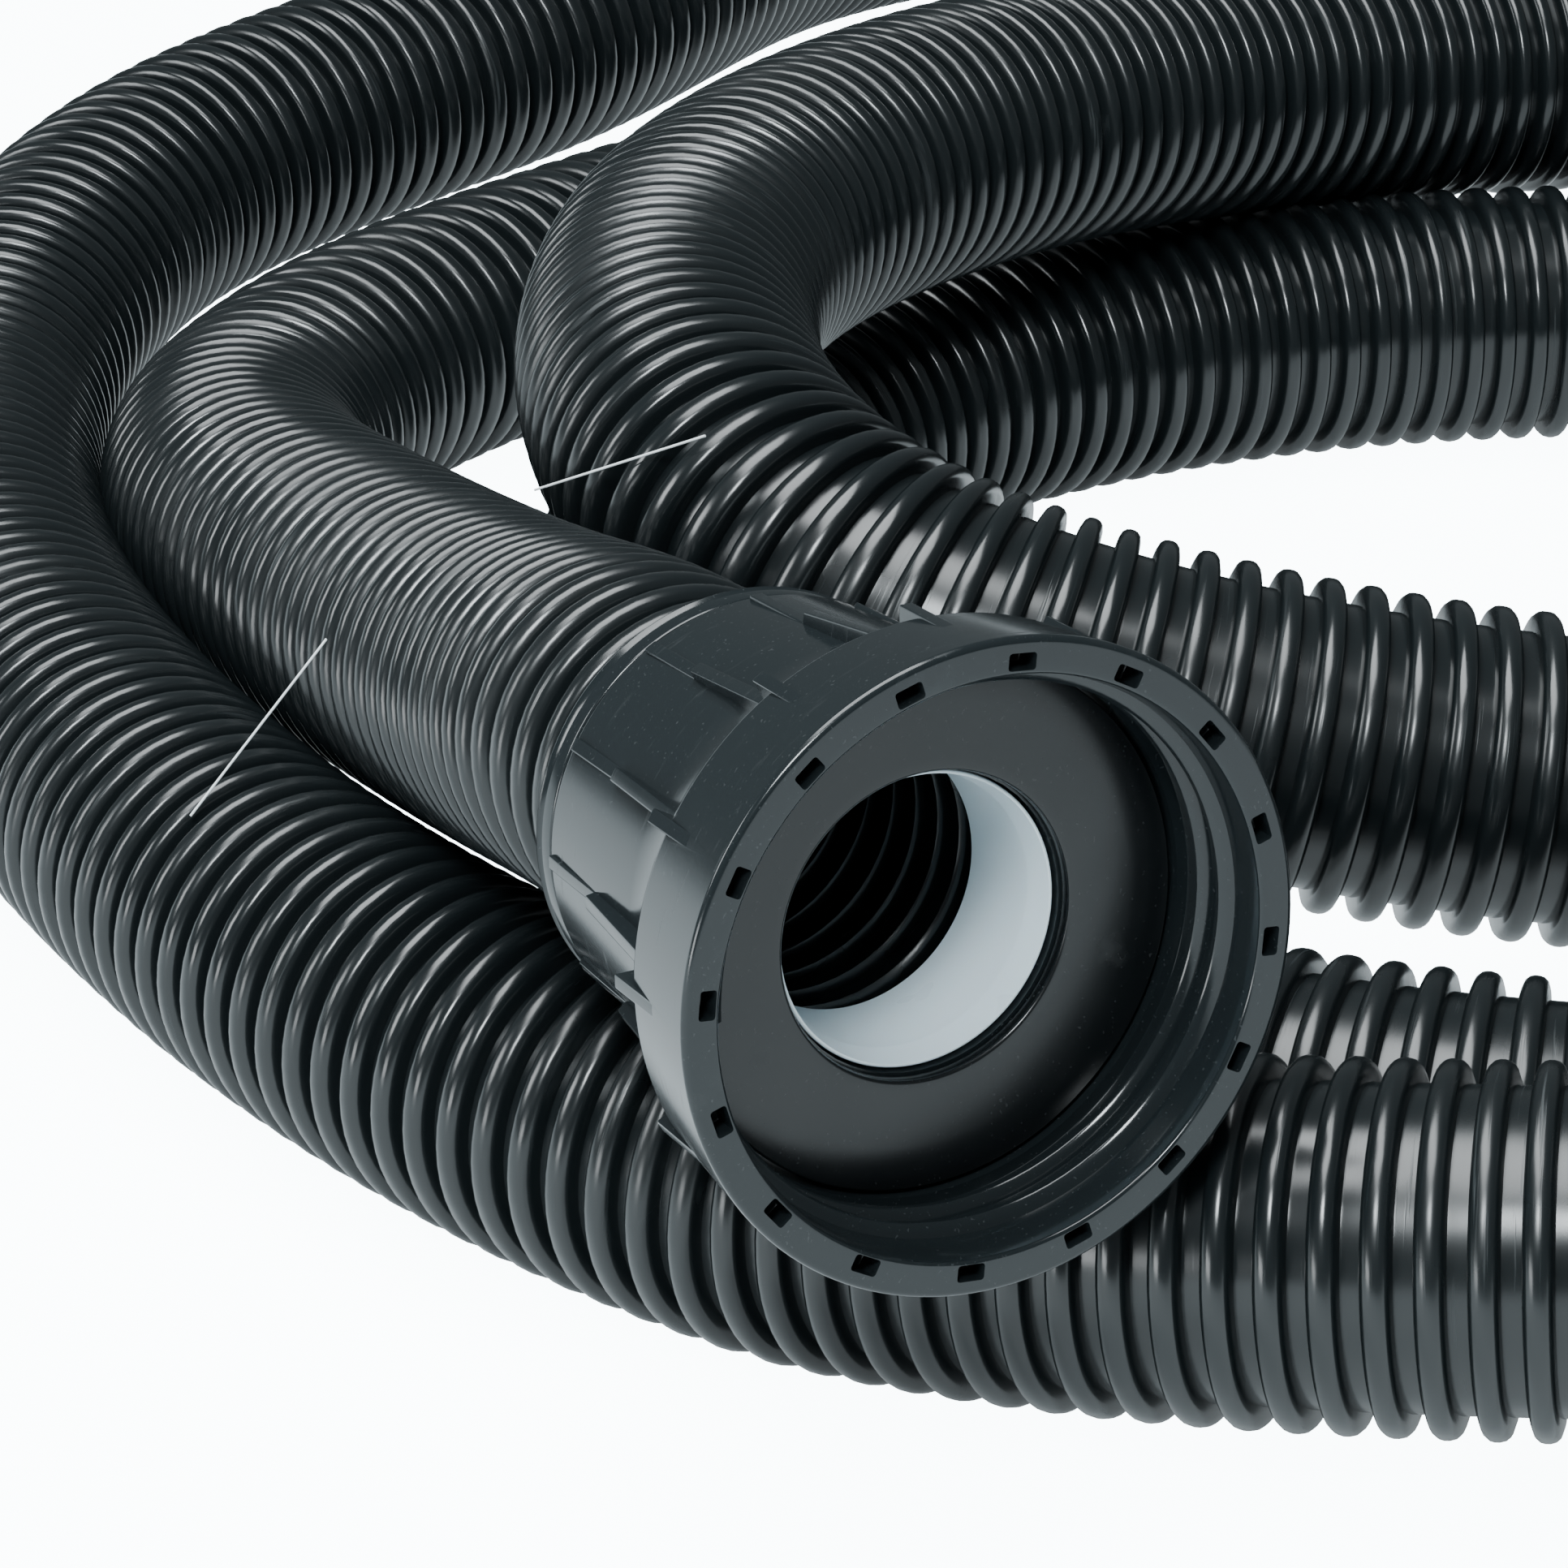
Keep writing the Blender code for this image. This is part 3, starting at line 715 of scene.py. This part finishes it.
class HOSE_OT_unions(bpy.types.Operator):
    """Makes each union's nut, thread, washer, bush and collar, and gives the rest its finish"""

    bl_idname = "object.hose_unions"
    bl_label = "Unions"

    def execute(self, context):
        union = context.scene.union_settings
        wear = bpy.data.node_groups["Handling Wear"]
        moulded = moulded_material("moulded_plastic", tuple(union.nut_colour), wear, 0.14)
        rubber = moulded_material("seal_rubber", tuple(union.rubber_colour), wear, 0.24)
        liner = liner_material(tuple(union.liner_colour))
        tie = tie_material(tuple(union.thread_colour))
        finishes = {"hose_tail": moulded, "end_seal": rubber, "thread_tie": tie}
        for name, node in frame["nodes"].items():
            for kind, material in finishes.items():
                if kind in name:
                    node.data.materials.clear()
                    node.data.materials.append(material)
        for prefix in ("near", "far"):
            matrix = union_frame(prefix + "_nut_spin")
            union_nut(prefix, matrix, moulded)
            for piece, outline, material, slot in (
                ("inner_bush", bush_outline(), liner, "liner_plastic"),
                ("sealing_washer", washer_outline(), rubber, "seal_rubber"),
                ("lock_collar", collar_outline(), moulded, "moulded_plastic"),
            ):
                made = turned_piece(f"{prefix}_{piece}_turned", outline, matrix, material)
                place_piece(made, "root", [f"{prefix}_{piece}"])
        return {"FINISHED"}


# ---------------------------------------------------------------- stage

def area_light(name, place, target, width, depth, power, colour):
    light = bpy.data.lights.new(name, "AREA")
    light.shape = "RECTANGLE"
    light.size = width
    light.size_y = depth
    light.energy = power
    light.color = colour
    lamp = link(bpy.data.objects.new(name, light))
    lamp.location = place
    lamp.rotation_euler = (Vector(target) - Vector(place)).to_track_quat("-Z", "Y").to_euler()


def floor_material():
    """A white floor that looks evenly lit to the camera and still takes soft light for everything else."""
    material, tree, shader = new_material("floor_white", (0.56, 0.61, 0.63), 0.8)
    rays = tree.nodes.new("ShaderNodeLightPath")
    glow = ramp_node(tree, rays.outputs["Is Camera Ray"], 0.0, 1.0, FLOOR_GLOW, FLOOR_GLOW_SEEN)
    shader.inputs["Emission Color"].default_value = (0.86, 0.96, 1.0, 1)
    tree.links.new(glow, shader.inputs["Emission Strength"])
    return material


class HOSE_OT_camera(bpy.types.Operator):
    """Makes the camera that looks down on the open nut"""

    bl_idname = "object.hose_camera"
    bl_label = "Camera"

    def execute(self, context):
        stage = context.scene.stage_settings
        camera = link(bpy.data.objects.new("camera", bpy.data.cameras.new("camera")))
        camera.data.lens = stage.focal_length
        camera.data.sensor_width = 36
        camera.data.clip_start = 0.01
        camera.location = (*CAMERA_PLACE, stage.camera_height)
        camera.rotation_euler = (math.pi / 2 - stage.camera_pitch, 0, -stage.camera_heading)
        context.scene.camera = camera
        return {"FINISHED"}


class HOSE_OT_stage(bpy.types.Operator):
    """Makes the white floor and the soft studio light"""

    bl_idname = "object.hose_stage"
    bl_label = "Stage"

    def execute(self, context):
        stage = context.scene.stage_settings
        material = floor_material()
        work = bmesh.new()
        bmesh.ops.create_grid(work, x_segments=1, y_segments=1, size=6)
        bmesh.ops.translate(work, verts=work.verts, vec=(0, 0, -0.2 * MM))
        floor = object_from("floor", work, material)
        world = bpy.data.worlds.new("studio")
        world.use_nodes = True
        tree = world.node_tree
        tree.nodes["Background"].inputs["Color"].default_value = (0.86, 0.96, 1.0, 1)
        rays = tree.nodes.new("ShaderNodeLightPath")
        glow = ramp_node(tree, rays.outputs["Is Camera Ray"], 0.0, 1.0, SKY_GLOW, FLOOR_GLOW_SEEN)
        tree.links.new(glow, tree.nodes["Background"].inputs["Strength"])
        context.scene.world = world
        area_light(
            "key", (-0.45, -0.05, 1.35), (-0.15, -0.05, 0), 1.1, 0.8, stage.key_power, COOL_LIGHT)
        for light in LIGHTS:
            area_light(*light)
        return {"FINISHED"}


class HOSE_PT_panel(bpy.types.Panel):
    """Lists the hose's settings and the operators that make it"""

    bl_label = "Pool Vacuum Hose"
    bl_space_type = "VIEW_3D"
    bl_region_type = "UI"
    bl_category = "Hose"

    def draw(self, context):
        for settings in ("hose_settings", "union_settings", "stage_settings"):
            group = getattr(context.scene, settings)
            box = self.layout.box()
            for name in group.__annotations__:
                box.prop(group, name)
        for operator in OPERATORS:
            self.layout.operator(operator.bl_idname)


SETTINGS = {
    "hose_settings": HoseSettings,
    "union_settings": UnionSettings,
    "stage_settings": StageSettings,
}
OPERATORS = (
    HOSE_OT_camera,
    HOSE_OT_unions,
    HOSE_OT_corrugated_hose,
    HOSE_OT_stage,
)
CLASSES = (*SETTINGS.values(), *OPERATORS, HOSE_PT_panel)


def register():
    for cls in CLASSES:
        bpy.utils.register_class(cls)
    for name, cls in SETTINGS.items():
        setattr(bpy.types.Scene, name, PointerProperty(type=cls))


def unregister():
    for name in SETTINGS:
        delattr(bpy.types.Scene, name)
    for cls in reversed(CLASSES):
        bpy.utils.unregister_class(cls)


def main():
    register()
    wear_group()
    bpy.ops.object.hose_camera()
    bpy.ops.object.hose_unions()
    bpy.ops.object.corrugated_hose()
    bpy.ops.object.hose_stage()


if __name__ == "__main__":
    main()
